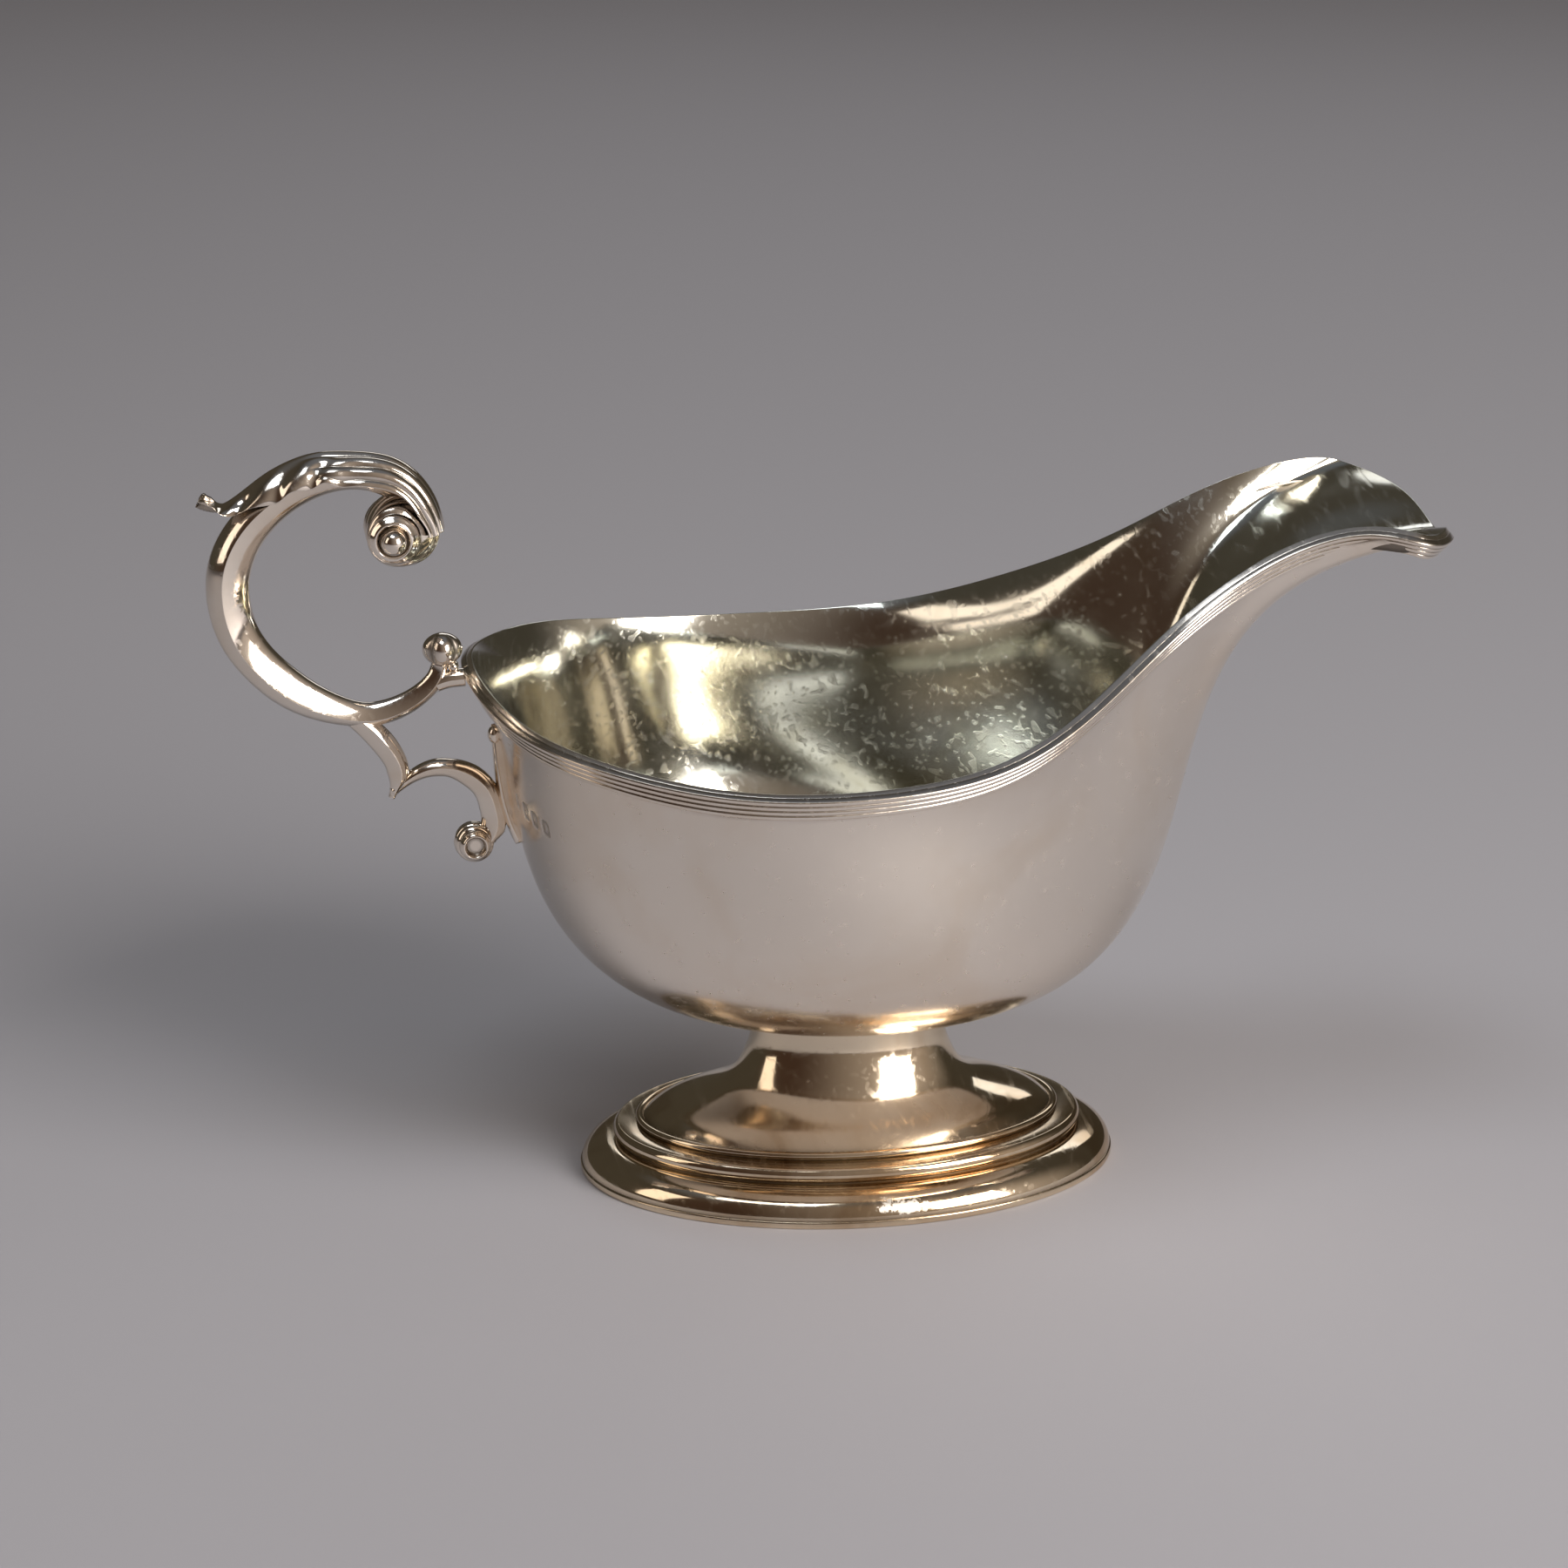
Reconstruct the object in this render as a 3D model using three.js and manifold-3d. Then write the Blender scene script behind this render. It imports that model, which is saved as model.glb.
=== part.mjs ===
// Silver sauce boat: a raised bowl with a reeded rim wire, an oval pedestal foot
// with stepped mouldings, and a cast flying double-scroll handle.
//
// Frame: millimetres, +Z up, +X towards the spout. The boat is symmetric about
// the XZ plane, and the foot stands on Z = 0.
import * as THREE from 'three';
import { ParametricGeometry } from 'three/addons/geometries/ParametricGeometry.js';
import { mergeVertices } from 'three/addons/utils/BufferGeometryUtils.js';
import Module from 'manifold-3d';

const wasm = await Module();
wasm.setup();

// ---------------------------------------------------------------- driving dimensions

const footCentreX = 2.61;       // the foot's axis, from the middle of the boat's length
const gap = 0.3;                // left at every soldered joint between curved pieces

const sheet = 0.9;              // thickness of the bowl's sheet silver
const bowlFloorZ = 25.2;        // underside of the bowl, where the foot joins it

const rimWireDepth = 1.0;       // how far the reeded wire stands out from the bowl
const rimWireHeight = 3.1;
const rimWireGap = 0.3;         // solder line between the wire and the bowl

const footHalfLength = 39;      // of the base, along X
const footHalfWidth = 26.7;     // of the base, along Y
const footSheet = 1.2;          // thickness of the foot's sheet and mouldings
const stemHalfLength = 14;      // of the waist, along X
const stemHalfWidth = 9;        // of the waist, along Y
const domeHalfLength = 30.4;    // of the dome's beaded edge, along X

// ---------------------------------------------------------------- helpers

const V = (x, y, z) => new THREE.Vector3(x, y, z);

// Takes out the triangles that a pole has collapsed to a line.
function withoutCollapsed(geometry) {
  const index = geometry.index.array;
  const kept = [];
  for (let i = 0; i < index.length; i += 3) {
    const [a, b, c] = [index[i], index[i + 1], index[i + 2]];
    if (a !== b && b !== c && c !== a) kept.push(a, b, c);
  }
  geometry.setIndex(kept);
  return geometry;
}

// Six times the volume that the triangles enclose, negative when they face inwards.
function signedVolume(geometry) {
  const position = geometry.attributes.position;
  const index = geometry.index.array;
  const corners = [V(0, 0, 0), V(0, 0, 0), V(0, 0, 0)];
  let total = 0;
  for (let i = 0; i < index.length; i += 3) {
    corners.forEach((corner, k) => corner.fromBufferAttribute(position, index[i + k]));
    total += corners[0].dot(corners[1].clone().cross(corners[2]));
  }
  return total;
}

function facingOut(geometry) {
  if (signedVolume(geometry) > 0) return geometry;
  const index = Array.from(geometry.index.array);
  geometry.setIndex(index.reverse());
  return geometry;
}

// A closed solid from pointAt(u, v): u runs once round, and v runs from pole to
// pole, or once round the section too where loops is true.
function closedSolid(pointAt, around, along, loops = false) {
  const surface = (u, v, target) => {
    target.copy(pointAt(u === 1 ? 0 : u, loops && v === 1 ? 0 : v));
  };
  const geometry = new ParametricGeometry(surface, around, along);
  geometry.deleteAttribute('normal');
  geometry.deleteAttribute('uv');
  return facingOut(withoutCollapsed(mergeVertices(geometry)));
}

function toManifold(geometry) {
  const mesh = new wasm.Mesh({
    numProp: 3,
    vertProperties: new Float32Array(geometry.attributes.position.array),
    triVerts: new Uint32Array(geometry.index.array),
  });
  return new wasm.Manifold(mesh);
}

function fromManifold(solid) {
  const mesh = solid.getMesh();
  const geometry = new THREE.BufferGeometry();
  geometry.setAttribute('position', new THREE.BufferAttribute(mesh.vertProperties, 3));
  geometry.setIndex(new THREE.BufferAttribute(mesh.triVerts, 1));
  return geometry;
}

// The geometry less its neighbours, each made one gap larger than it is.
function clearOf(geometry, ...grownNeighbours) {
  let solid = toManifold(geometry);
  for (const neighbour of grownNeighbours) {
    solid = solid.subtract(toManifold(neighbour));
  }
  const largest = solid.decompose().sort((a, b) => b.volume() - a.volume())[0];
  return fromManifold(largest);
}

// Reads a list of [t, value] pairs as a smooth curve of t.
function profile(pairs) {
  return (t) => {
    let i = 1;
    while (i < pairs.length - 1 && t > pairs[i][0]) i += 1;
    const [t0, value0] = pairs[i - 1];
    const [t1, value1] = pairs[i];
    return value0 + (value1 - value0) * THREE.MathUtils.smoothstep(t, t0, t1);
  };
}

// A smooth curve in the XZ plane through [x, z] points.
const planeCurve = (points) => new THREE.CatmullRomCurve3(
  points.map(([x, z]) => V(x, 0, z)), false, 'centripetal',
);

// A bar swept along a curve in the XZ plane. Its section is a pointed oval:
// depth is its half size across the curve in the plane, width its half size along
// Y, and the ridge sharpens it along its two sides.
function scrollBar({ curve, depth, width, sides = 10, steps = 24, ridge = 1.35, grow = 0 }) {
  return closedSolid((u, v) => {
    const row = v * (steps + 2) - 1;
    const t = THREE.MathUtils.clamp(row / steps, 0, 1);
    const centre = curve.getPoint(t);
    const tangent = curve.getTangent(t);
    if (row < 0) return centre.addScaledVector(tangent, -grow);
    if (row > steps + 0.5) return centre.addScaledVector(tangent, grow);
    const across = V(-tangent.z, 0, tangent.x);
    const angle = 2 * Math.PI * u;
    const side = Math.sin(angle);
    const out = (depth(t) + grow) * Math.cos(angle);
    const along = (width(t) + grow) * Math.sign(side) * Math.abs(side) ** ridge;
    centre.addScaledVector(tangent, row < 0.5 ? -grow : row > steps - 0.5 ? grow : 0);
    return centre.addScaledVector(across, out).add(V(0, along, 0));
  }, sides, steps + 2);
}

// A ball, stretched to its three half sizes.
function ball(centre, half, around = 12, along = 8) {
  return closedSolid((u, v) => {
    const latitude = Math.PI * (v - 0.5);
    const longitude = 2 * Math.PI * u;
    const level = v === 0 || v === 1 ? 0 : Math.cos(latitude);
    return V(
      centre.x + half.x * level * Math.cos(longitude),
      centre.y + half.y * level * Math.sin(longitude),
      centre.z + half.z * Math.sin(latitude),
    );
  }, around, along);
}

const silver = (color, roughness) => new THREE.MeshStandardMaterial({ color, roughness, metalness: 1 });

const boat = new THREE.Group();
boat.position.x = footCentreX;

function addPiece(name, geometry, color = 0xd9d2c8, roughness = 0.2) {
  const mesh = new THREE.Mesh(geometry, silver(color, roughness));
  mesh.name = name;
  boat.add(mesh);
}

// ---------------------------------------------------------------- bowl

// The lip of the bowl from the back, over the near side, to the tip of the spout:
// distance along X, half width, height.
const lipStations = [
  [-53.8, 0, 77.0],
  [-50.0, 19.5, 75.0],
  [-40.5, 33.3, 73.0],
  [-25.5, 41.3, 70.7],
  [-8, 43.8, 69.9],
  [12, 41.0, 71.4],
  [28, 32.5, 77.0],
  [42, 22.8, 85.0],
  [56, 19.2, 93.0],
  [69, 19.6, 96.4],
  [77.8, 21.0, 95.0],
  [83.4, 10.5, 93.2],
  [85.0, 0, 90.2],
];
const nearSide = lipStations.map(([x, y, z]) => V(x, -y, z));
const farSide = lipStations.slice(1, -1).reverse().map(([x, y, z]) => V(x, y, z));
const lip = new THREE.CatmullRomCurve3([...nearSide, ...farSide], true, 'centripetal');

// Ovals that draw the wall from the foot up to the lip: the solder line of the
// foot, the reach of the floor, and the belly. The wall turns outwards again
// under the lip at the back.
const floorReach = { centreX: 12.7, halfLength: 55.3, halfWidth: 43.7 };
const belly = { centreX: -12.1, halfLength: 39.6, halfWidth: 48, pinch: 0.5 };
const bellyRise = [64, 18.5, 5.2, 1];
const bellyZ = (bearing) => bellyRise.reduce((z, rise, k) => z + rise * Math.cos(k * bearing), 0);
const backFlare = 3.0;
const fan = 0.6;                // how far the wall's lines lean towards the spout, in radians
const solderOval = { halfLength: stemHalfLength - 0.5, halfWidth: stemHalfWidth - 0.4 };

// The throat and the sides of the spout are fuller just under the lip: how much, and
// where that is round from the back.
const fullness = { height: 2.5, at: 0.305, spread: 0.09 };

// At a place round the lip: along it, level outwards, and square down.
function lipFrame(u) {
  const along = lip.getTangent(u);
  const level = along.clone().cross(V(0, 0, 1)).normalize();
  return { along, level, drop: along.clone().cross(level) };
}

// A point of the bowl's outer face: u runs round from the back, and t rises from
// the foot (0) to the lip (1).
function bowlOuter(u, t) {
  const bearing = Math.PI * (1 + 2 * u) + fan * Math.sin(2 * Math.PI * u);
  const [c, s] = [Math.cos(bearing), Math.sin(bearing)];
  const front = ((1 + c) / 2) ** 2;
  const back = ((1 - c) / 2) ** 2;
  const start = V(solderOval.halfLength * c, solderOval.halfWidth * s, bowlFloorZ);
  const reach = V(floorReach.centreX + floorReach.halfLength * c, floorReach.halfWidth * s, bowlFloorZ);
  const swell = V(
    belly.centreX + belly.halfLength * c,
    belly.halfWidth * s * (1 - belly.pinch * front),
    bellyZ(bearing),
  );
  const nearLip = 15 * t ** 5 * (1 - t);
  const tuck = backFlare * back * nearLip;
  const fromBack = Math.min(u, 1 - u);
  const full = fullness.height * Math.exp(-(((fromBack - fullness.at) / fullness.spread) ** 2)) * nearLip;
  const { level, drop } = lipFrame(u);
  return new THREE.CubicBezierCurve3(start, reach, swell, lip.getPoint(u)).getPoint(t)
    .add(V(-c * tuck, -s * tuck, 0))
    .addScaledVector(level, 0.42 * full)
    .addScaledVector(drop, 0.9 * full);
}

function bowlNormal(u, t) {
  const step = 0.001;
  const low = Math.max(t - step, 0);
  const high = Math.min(t + step, 1);
  const rise = bowlOuter(u, high).sub(bowlOuter(u, low));
  const round = bowlOuter((u + step) % 1, t).sub(bowlOuter((u - step + 1) % 1, t));
  return round.cross(rise).normalize();
}

const bowlInner = (u, t) => bowlOuter(u, t).addScaledVector(bowlNormal(u, t), -sheet);

// Where the lower edge of the rim wire runs: its t on the wall at u.
function wireLow(u) {
  const nearLipT = 0.9;
  const climb = bowlOuter(u, 1).distanceTo(bowlOuter(u, nearLipT)) / (1 - nearLipT);
  return 1 - rimWireHeight / climb;
}

// The wall's rows rise evenly to the wire's lower edge, and the last one is the lip.
const bowlRows = 13;
const bowlAround = 72;
const rowT = (u, row) => (row === bowlRows ? 1 : (wireLow(u) * row) / (bowlRows - 1));
function bowlSolid(grow = 0) {
  return closedSolid((u, v) => {
    const row = Math.round(v * (2 * bowlRows + 3));
    if (row === 0) return V(0, 0, bowlFloorZ - grow);
    if (row > 2 * bowlRows + 2) return V(0, 0, bowlFloorZ + sheet);
    if (row > bowlRows + 1) return bowlInner(u, rowT(u, 2 * bowlRows + 2 - row));
    const t = rowT(u, row - 1);
    return bowlOuter(u, t).addScaledVector(bowlNormal(u, t), grow);
  }, bowlAround, 2 * bowlRows + 3);
}
addPiece('bowl', bowlSolid());

// ---------------------------------------------------------------- reeded rim wire

// The wire's section: how far out from the wall, and how far down from the lip as
// a share of its height.
const reeds = 4;
const valley = 0.72 * rimWireDepth;
const wireSection = [[0, 0]];
for (let i = 0; i < reeds; i += 1) {
  wireSection.push([valley, (i + 0.06) / reeds]);
  wireSection.push([rimWireDepth, (i + 0.5) / reeds]);
}
wireSection.push([valley, 1], [0, 1]);

// How far the wire leans from upright, in degrees, from the back round to the spout.
const wireLean = profile([[0, 30], [0.12, 20], [0.25, 28], [0.35, 30], [0.43, 42], [0.5, 64]]);

function wirePoint(u, out, down) {
  const { level, drop } = lipFrame(u);
  const lean = THREE.MathUtils.degToRad(wireLean(Math.min(u, 1 - u)));
  return lip.getPoint(u)
    .addScaledVector(level, Math.cos(lean) * (rimWireGap + out) - Math.sin(lean) * down * rimWireHeight)
    .addScaledVector(drop, Math.sin(lean) * (rimWireGap + out) + Math.cos(lean) * down * rimWireHeight);
}

// The wire is two lengths, mitred behind the handle and at the spout's tip. This is
// the near side's, and the far side's is its mirror image.
function rimWire() {
  const steps = bowlAround / 2;
  const count = wireSection.length;
  return closedSolid((u, v) => {
    const row = Math.round(v * (steps + 2)) - 1;
    const at = (0.5 * THREE.MathUtils.clamp(row, 0, steps)) / steps;
    const isEnd = row < 0 || row > steps;
    const [out, down] = isEnd ? [rimWireDepth / 2, 0.5] : wireSection[Math.round(u * count) % count];
    const point = wirePoint(at, out, down);
    point.y = Math.min(point.y, -gap / 2);
    return point;
  }, count, steps + 2);
}
const rightWire = clearOf(rimWire(), bowlSolid(rimWireGap));
addPiece('rim_wire_right', rightWire);
addPiece('rim_wire_left', facingOut(rightWire.clone().scale(1, -1, 1)));

// ---------------------------------------------------------------- foot

// Half width of the foot where its half length is a: the mouldings keep an even
// border, and the dome and stem close in on the narrower oval of the waist.
const evenBorder = footHalfLength - footHalfWidth;
const stemBorder = stemHalfLength - stemHalfWidth;
function footHalfWidthAt(a) {
  const waist = THREE.MathUtils.clamp((domeHalfLength - a) / (domeHalfLength - stemHalfLength), 0, 1);
  return a - THREE.MathUtils.lerp(evenBorder, stemBorder, waist);
}

// A ring whose section is a closed outline of [half length, height] points.
function footRing(outline, around = 48) {
  const count = outline.length;
  return closedSolid((u, v) => {
    const [a, z] = outline[Math.round(v * count) % count];
    const angle = 2 * Math.PI * u;
    return V(a * Math.cos(angle), footHalfWidthAt(a) * Math.sin(angle), z);
  }, around, count, true);
}

// Points of a quarter or half round from one angle to another, in degrees.
function roundStretch(centreA, centreZ, radiusA, radiusZ, from, to, steps) {
  const points = [];
  for (let i = 0; i <= steps; i += 1) {
    const angle = THREE.MathUtils.degToRad(from + ((to - from) * i) / steps);
    points.push([centreA + radiusA * Math.cos(angle), centreZ + radiusZ * Math.sin(angle)]);
  }
  return points;
}

const baseWireHeight = 1.0;
const ovoloTop = 4.6;
const torusTop = 7.0;
const beadRadius = 0.55;
const grooveHalfLength = 34.3;
const seam = 0.02;

addPiece('foot_base_wire', footRing([
  [footHalfLength - 2.2, 0],
  [footHalfLength, 0],
  [footHalfLength, baseWireHeight - seam],
  [footHalfLength - 2.2, baseWireHeight - seam],
]));

const ovoloDepth = footHalfLength - grooveHalfLength;
addPiece('foot_ovolo_moulding', footRing([
  [footHalfLength - footSheet, baseWireHeight],
  ...roundStretch(grooveHalfLength, baseWireHeight, ovoloDepth - 0.2, ovoloTop - baseWireHeight, 0, 90, 5),
  [grooveHalfLength - 1.4, ovoloTop],
  ...roundStretch(grooveHalfLength, baseWireHeight, ovoloDepth - 0.2 - footSheet,
    ovoloTop - baseWireHeight - footSheet, 90, 18, 3),
]));

const torusBulge = 1.2;
addPiece('foot_torus_moulding', footRing([
  [grooveHalfLength - 0.6, ovoloTop + seam],
  ...roundStretch(grooveHalfLength - torusBulge - 0.1, ovoloTop + torusBulge,
    torusBulge, torusBulge, -60, 60, 4),
  [domeHalfLength + 0.9, torusTop - 0.25],
  [domeHalfLength + 0.2, torusTop],
  [domeHalfLength - 1.4, torusTop],
  [domeHalfLength - 1.4, torusTop - footSheet],
  [grooveHalfLength - 1.6, ovoloTop + seam],
]));

addPiece('foot_bead_wire', footRing(
  roundStretch(domeHalfLength, torusTop + seam + beadRadius, beadRadius, beadRadius, -90, 210, 5),
));

// The pedestal is raised from one sheet: a gently domed shoulder and a waisted stem.
const pedestal = planeCurve([
  [domeHalfLength - beadRadius - 0.15, torusTop + 1.0],
  [27.2, 9.6],
  [23.0, 11.0],
  [19.3, 12.3],
  [16.6, 14.3],
  [14.9, 17.4],
  [14.1, 20.6],
  [stemHalfLength, bowlFloorZ - seam],
]);
const pedestalSteps = 10;
const pedestalOutside = [];
const pedestalInside = [];
for (let i = 0; i <= pedestalSteps; i += 1) {
  const t = i / pedestalSteps;
  const point = pedestal.getPoint(t);
  const tangent = pedestal.getTangent(t);
  pedestalOutside.push([point.x, point.z]);
  const inside = point.clone().addScaledVector(V(-tangent.z, 0, tangent.x), footSheet);
  pedestalInside.unshift([inside.x, Math.min(Math.max(inside.z, torusTop + seam), bowlFloorZ - seam)]);
}
addPiece('foot_pedestal', footRing([...pedestalOutside, ...pedestalInside]));

// ---------------------------------------------------------------- handle

// The C scroll, from under the volute, over the top and round to the rim.
const mainScroll = {
  curve: planeCurve([
    [-60.6, 99.0],
    [-61.6, 102.2],
    [-66.0, 104.6],
    [-71.5, 104.8],
    [-77.5, 102.6],
    [-82.6, 98.6],
    [-85.6, 93.6],
    [-86.3, 88.4],
    [-85.0, 82.8],
    [-81.6, 77.8],
    [-76.8, 73.8],
    [-71.6, 71.4],
    [-66.8, 70.7],
    [-62.0, 72.2],
    [-58.6, 75.0],
    [-57.6, 77.0],
  ]),
  depth: profile([[0, 2.2], [0.2, 2.2], [0.42, 2.8], [0.62, 2.6], [0.8, 1.6], [1, 1.1]]),
  width: profile([[0, 2.4], [0.2, 2.4], [0.42, 2.9], [0.62, 2.7], [0.8, 1.8], [1, 1.2]]),
  steps: 40,
};
addPiece('handle_scroll', scrollBar(mainScroll));

// A barrel-shaped roll with its axis along Y. Its ends are closed by flat faces.
function roll({ centre, radius, halfWidth, barrel, sides = 18, grow = 0 }) {
  const rows = 8;
  return closedSolid((u, v) => {
    const row = Math.round(v * (rows + 2)) - 1;
    const across = THREE.MathUtils.clamp((2 * row) / rows - 1, -1, 1);
    const angle = 2 * Math.PI * u;
    const size = row < 0 || row > rows ? 0 : (radius + grow) * Math.sqrt(1 - barrel * across * across);
    return V(
      centre.x + size * Math.cos(angle),
      across * (halfWidth + grow),
      centre.z + size * Math.sin(angle),
    );
  }, sides, rows + 2);
}

// The volute that ends the scroll, with a boss in each of its eyes.
const volute = { centre: V(-62.2, 0, 97.3), radius: 5.4, halfWidth: 4.4, barrel: 0.6 };
addPiece('handle_volute', clearOf(roll(volute), scrollBar({ ...mainScroll, grow: gap })));

for (const [name, side] of [['volute_boss_right', -1], ['volute_boss_left', 1]]) {
  const centre = V(volute.centre.x - 1.6, side * (volute.halfWidth + 0.3), volute.centre.z - 0.8);
  addPiece(name, clearOf(ball(centre, V(1.8, 1.4, 1.8), 12, 6), roll({ ...volute, grow: gap })));
}

// The acanthus leaf lies on the outside of the scroll, from a curled tip at the
// back, over the crest and down to the volute.
const leafCurve = planeCurve([
  [-90.3, 102.5],
  [-89.2, 100.9],
  [-87.0, 100.4],
  [-84.2, 102.0],
  [-80.2, 105.0],
  [-75.2, 107.2],
  [-70.5, 107.7],
  [-64.5, 107.2],
  [-60.0, 104.4],
  [-57.6, 100.4],
  [-56.8, 97.0],
]);
const leafWidth = profile([
  [0, 1.2], [0.06, 2.2], [0.16, 2.4], [0.35, 3.6], [0.6, 3.9], [0.85, 4.4], [1, 3.6],
]);
const leafThickness = 0.8;
const leafHang = profile([[0, 0], [0.15, 0.02], [0.35, 0.16], [1, 0.12]]);
function leafPoint(u, v) {
  const steps = 30;
  const row = Math.round(v * (steps + 2)) - 1;
  const t = THREE.MathUtils.clamp(row / steps, 0, 1);
  const centre = leafCurve.getPoint(t);
  if (row < 0 || row > steps) return centre;
  const tangent = leafCurve.getTangent(t);
  const across = V(-tangent.z, 0, tangent.x);
  const angle = 2 * Math.PI * u;
  const y = leafWidth(t) * Math.cos(angle);
  const hang = leafHang(t) * y * y;
  const skin = leafThickness * 0.5 * Math.sin(angle);
  return centre.addScaledVector(across, skin - hang).add(V(0, y, 0));
}
addPiece('handle_leaf', clearOf(
  closedSolid(leafPoint, 12, 32),
  scrollBar({ ...mainScroll, grow: gap }),
  roll({ ...volute, grow: gap }),
));

// The bud at the rim end of the scroll, its collar bead, and the lug that is
// soldered to the rim wire.
const bud = { centre: V(-57.2, 0, 79.6), half: V(2.8, 2.6, 2.3) };
const lugCurve = planeCurve([[-57.6, 74.9], [-56.4, 75.2], [-55.3, 75.3]]);
const lug = { curve: lugCurve, depth: () => 1.3, width: () => 1.5, sides: 10, steps: 4 };
const collarBead = { centre: V(-55.75, 0, 77.1), half: V(0.8, 1.2, 0.8) };
const grownScroll = () => scrollBar({ ...mainScroll, grow: gap });
addPiece('rim_bud', clearOf(ball(bud.centre, bud.half), grownScroll()));
addPiece('rim_collar_bead', clearOf(
  ball(collarBead.centre, collarBead.half, 10, 6),
  ball(bud.centre, bud.half.clone().addScalar(gap)),
  grownScroll(),
  scrollBar({ ...lug, grow: gap }),
));
addPiece('rim_lug', clearOf(scrollBar(lug), grownScroll()));

// ---------------------------------------------------------------- bracket

const spur = {
  curve: planeCurve([
    [-71.8, 71.2],
    [-69.4, 70.0],
    [-66.6, 67.4],
    [-64.5, 64.4],
    [-63.8, 61.6],
    [-64.8, 58.4],
  ]),
  depth: profile([[0, 1.2], [0.5, 1.7], [0.8, 1.5], [1, 0.5]]),
  width: profile([[0, 1.4], [0.5, 1.8], [0.8, 1.6], [1, 0.6]]),
  steps: 12,
};
addPiece('bracket_spur', clearOf(scrollBar(spur), grownScroll()));

// The plate soldered to the back of the bowl, pointed at both ends.
const plateThickness = 1.1;
const plateHalfWidth = 2.4;
const plateFoot = 0.655;
const plateHead = 0.895;
function plateSolid(grow = 0) {
  const rows = 10;
  const section = 8;
  return closedSolid((u, v) => {
    const row = Math.round(v * (rows + 2)) - 1;
    const share = THREE.MathUtils.clamp(row / rows, 0, 1);
    const t = plateFoot + (plateHead - plateFoot) * share;
    const isEnd = row < 0 || row > rows;
    const angle = (2 * Math.PI * Math.round(u * section)) / section;
    const reach = isEnd ? 0 : (plateHalfWidth * (0.25 + 0.75 * Math.sin(Math.PI * share)) + grow);
    const y = reach * Math.cos(angle);
    const lift = isEnd ? 0 : (0.5 * plateThickness + grow) * Math.sin(angle);
    const nearBack = 0.01;
    const at = (1 + (y * nearBack) / bowlOuter(nearBack, t).y) % 1;
    return bowlOuter(at, t).addScaledVector(bowlNormal(at, t), gap + 0.5 * plateThickness + lift);
  }, section, rows + 2);
}
addPiece('bracket_plate', plateSolid());

const lowerScroll = {
  curve: planeCurve([
    [-64.0, 59.8],
    [-61.2, 61.6],
    [-57.8, 62.4],
    [-54.6, 61.5],
    [-52.0, 59.3],
    [-50.9, 56.5],
    [-50.6, 53.9],
    [-51.6, 52.0],
  ]),
  depth: profile([[0, 0.9], [0.3, 1.3], [0.5, 1.6], [1, 1.3]]),
  width: profile([[0, 1.2], [0.3, 1.6], [0.7, 1.7], [1, 1.7]]),
  steps: 20,
};
addPiece('bracket_scroll', clearOf(
  scrollBar(lowerScroll),
  scrollBar({ ...spur, grow: gap }),
  plateSolid(gap),
));

const bracketVolute = { centre: V(-53.4, 0, 51.2), radius: 2.9, halfWidth: 2.4, barrel: 0.5, sides: 14 };
addPiece('bracket_volute', clearOf(
  roll(bracketVolute),
  scrollBar({ ...lowerScroll, grow: gap }),
  plateSolid(gap),
));

export default boat;
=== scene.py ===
"""Looks of the silver sauce boat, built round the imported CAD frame.

Shapes are worked out in millimetres about the foot's upright axis, with +X towards
the spout and the foot standing on Z = 0, and are turned into metres in the shared
frame as each mesh is made.
"""

import math

import bpy
import numpy as np
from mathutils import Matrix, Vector


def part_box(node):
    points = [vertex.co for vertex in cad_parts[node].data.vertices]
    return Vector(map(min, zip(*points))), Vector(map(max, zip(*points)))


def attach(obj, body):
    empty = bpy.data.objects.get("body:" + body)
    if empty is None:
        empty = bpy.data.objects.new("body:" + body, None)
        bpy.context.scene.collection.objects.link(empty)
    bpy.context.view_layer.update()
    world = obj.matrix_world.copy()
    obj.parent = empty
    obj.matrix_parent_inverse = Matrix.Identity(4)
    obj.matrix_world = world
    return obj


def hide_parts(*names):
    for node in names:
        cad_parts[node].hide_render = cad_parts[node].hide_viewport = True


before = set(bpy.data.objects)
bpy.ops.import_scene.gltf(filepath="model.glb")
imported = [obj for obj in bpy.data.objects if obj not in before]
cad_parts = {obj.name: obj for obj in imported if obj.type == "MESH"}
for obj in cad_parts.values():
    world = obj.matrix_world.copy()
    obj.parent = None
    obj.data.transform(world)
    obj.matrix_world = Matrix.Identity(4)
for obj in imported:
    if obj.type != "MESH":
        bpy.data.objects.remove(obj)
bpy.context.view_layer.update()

MM = 0.001
BODY = "root"


# ---------------------------------------------------------------- sizes from the frame


def node_box(node):
    """Lowest and highest corner of a CAD node, in millimetres about the foot's axis."""
    low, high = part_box(node)
    return (np.array(low) - FOOT_AXIS) / MM, (np.array(high) - FOOT_AXIS) / MM


def node_centre(node):
    low, high = node_box(node)
    return (low + high) / 2


base_low, base_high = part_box("foot_base_wire")
FOOT_AXIS = np.array([(base_low.x + base_high.x) / 2, 0.0, 0.0])

BOWL_FLOOR = node_box("bowl")[0][2]
FOOT_HALF_LENGTH = node_box("foot_base_wire")[1][0]
FOOT_HALF_WIDTH = node_box("foot_base_wire")[1][1]
OVOLO_TOP = node_box("foot_ovolo_moulding")[1][2]
TORUS_TOP = node_box("foot_torus_moulding")[1][2]
STEM_HALF_LENGTH = 14.0
STEM_HALF_WIDTH = 9.0
DOME_HALF_LENGTH = 30.4

SHEET = 0.9
WIRE_DEPTH = 1.0
WIRE_HEIGHT = 3.1
REEDS = 4
REED_STAND = 0.30


# ---------------------------------------------------------------- curves


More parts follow.
